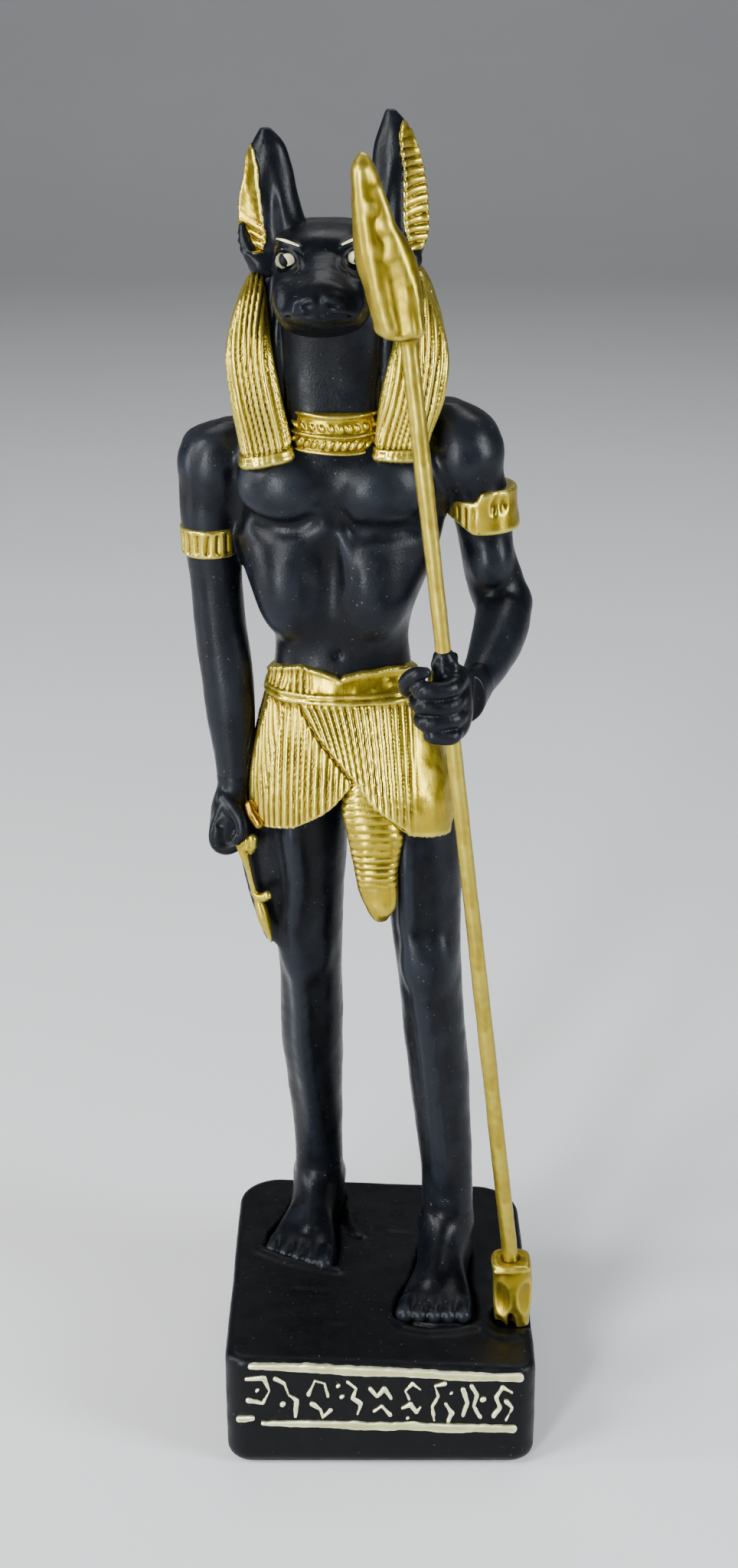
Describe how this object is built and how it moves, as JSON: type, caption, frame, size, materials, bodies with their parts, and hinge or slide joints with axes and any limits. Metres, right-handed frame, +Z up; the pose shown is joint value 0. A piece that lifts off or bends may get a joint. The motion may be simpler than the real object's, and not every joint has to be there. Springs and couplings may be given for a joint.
{
  "type": "jackal-headed standing figurine",
  "caption": "Black and gold standing figurine of a man with a jackal's head, with pleated kilt, ankh and tall staff, on a rounded block plinth with an inscribed band.",
  "frame": {"origin": "middle of the plinth's underside", "axes": "+Z up, the figure faces -Y, and +X is on the right of someone who faces the figure"},
  "size_m": [0.0336, 0.0328, 0.1255],
  "materials": {
    "figure_resin": "black painted cast resin, satin, with gold paint on the ears, wig, collar, armlets, kilt and ankh",
    "plinth_resin": "black painted cast resin, satin, with a gold inscription band",
    "staff_gold": "gold paint over black, brushed, worn near the hand"
  },
  "bodies": {
    "root": {"plinth": "plinth_resin", "figure": "figure_resin", "staff": "staff_gold"}
  },
  "joints": []
}
